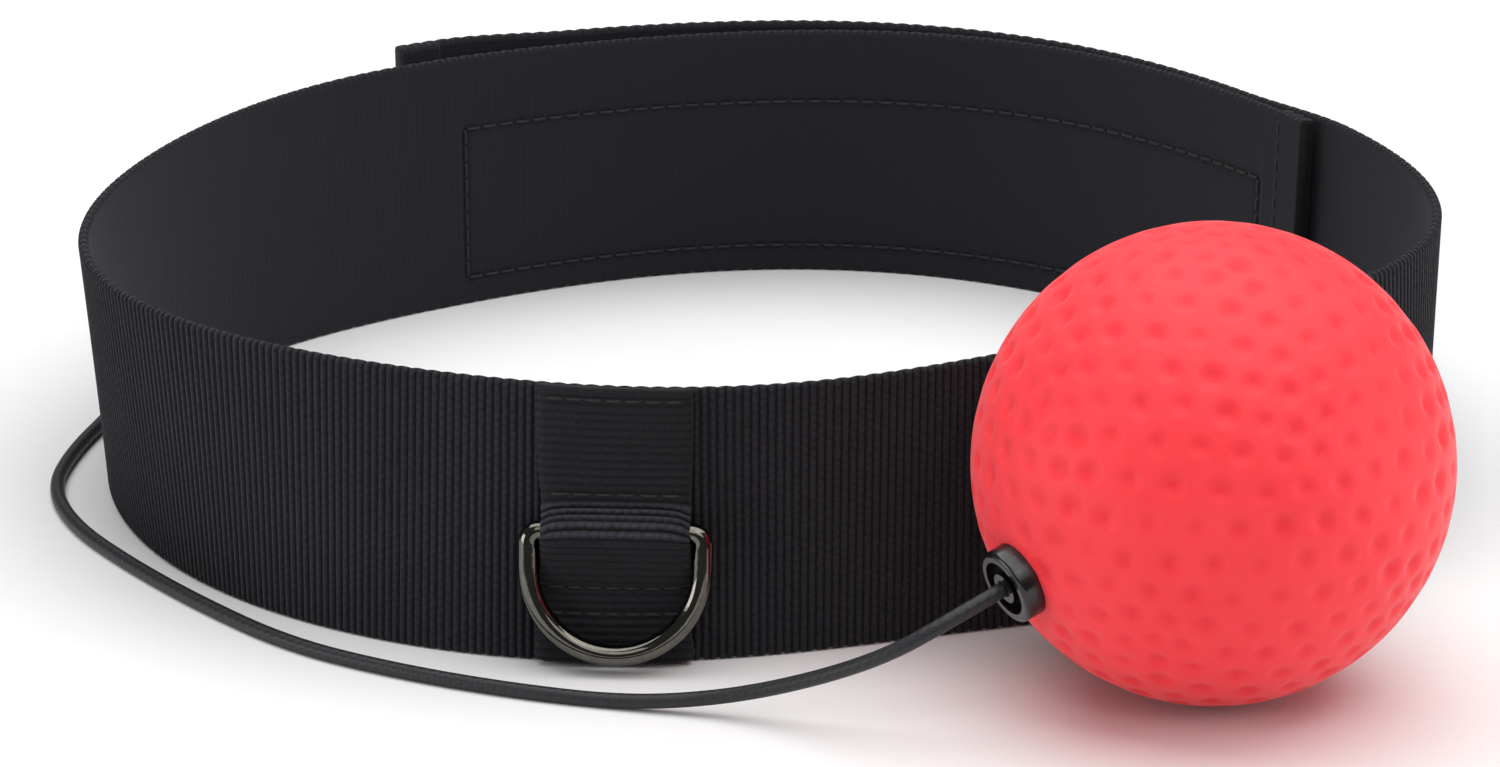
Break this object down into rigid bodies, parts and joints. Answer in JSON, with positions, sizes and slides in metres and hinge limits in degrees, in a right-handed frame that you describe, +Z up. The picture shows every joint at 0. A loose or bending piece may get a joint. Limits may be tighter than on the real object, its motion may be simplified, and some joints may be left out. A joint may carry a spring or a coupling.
{
  "type": "reflex ball headband",
  "caption": "Ribbed webbing headband closed by hook and loop tape, with a D-ring on a sewn front tab and a dimpled foam ball on an elastic cord that ends in a snap hook.",
  "frame": {"origin": "middle of the head opening, in the plane of the strap's lower edge, which is the surface that the ball and the strap stand on", "axes": "+Z up through the head opening, -Y towards the front where the D-ring hangs, +X to the wearer's left"},
  "size_m": [0.1942, 0.2483, 0.063],
  "materials": {
    "webbing": "ribbed woven polyester, matte",
    "hook_loop_tape": "napped nylon",
    "thread": "bonded nylon thread",
    "ring_metal": "black nickel plate",
    "ball_foam": "satin moulded foam skin",
    "plug_plastic": "glossy moulded plastic",
    "cord_sheath": "braided sheath over elastic",
    "tie": "flat twist tie",
    "hook_metal": "black nickel on die-cast zinc",
    "ferrule_metal": "crimped, satin",
    "spring_steel": "drawn wire"
  },
  "bodies": {
    "headband": {"strap": "webbing", "loop_tape": "hook_loop_tape", "hook_tape": "hook_loop_tape", "loop_tape_stitching": "thread", "hook_tape_stitching": "thread", "inner_hem_stitching": "thread", "outer_hem_stitching": "thread", "front_tab": "webbing", "tab_stitching": "thread"},
    "d_ring": {"d_ring": "ring_metal"},
    "cord_set": {"cord": "cord_sheath", "cord_coil": "cord_sheath", "coil_tie": "tie", "cord_tail": "cord_sheath", "cord_ferrule": "ferrule_metal", "cord_end_loop": "cord_sheath", "cord_knot": "cord_sheath", "hook_eye": "hook_metal"},
    "ball": {"ball": "ball_foam", "ball_plug": "plug_plastic"},
    "hook": {"hook_body": "hook_metal", "gate_pin": "spring_steel", "gate_spring": "spring_steel"},
    "gate": {"hook_gate": "hook_metal"}
  },
  "joints": [
    {"name": "d_ring_swing", "type": "hinge", "parent": "headband", "child": "d_ring", "pos_m": [-0.01713, -0.08525, 0.019], "axis": [-0.9981, 0.061, 0], "range_deg": [0, 140]},
    {"name": "ball_set_lift", "type": "slide", "parent": "headband", "child": "cord_set", "axis": [0, 0, 1], "range_m": [0, 0.12]},
    {"name": "ball_spin", "type": "hinge", "parent": "cord_set", "child": "ball", "pos_m": [0.0606, -0.09385, 0.0315], "axis": [-0.8125, -0.4767, -0.3355], "continuous": true},
    {"name": "hook_swivel", "type": "hinge", "parent": "cord_set", "child": "hook", "pos_m": [0.029, 0.104, 0.0029], "axis": [1, 0, 0], "continuous": true},
    {"name": "gate_open", "type": "hinge", "parent": "hook", "child": "gate", "pos_m": [0.0386, 0.1086, 0.0029], "axis": [0, 0, -1], "range_deg": [0, 26], "stiffness_Nm_per_rad": 0.004, "springref_deg": -20.05}
  ]
}
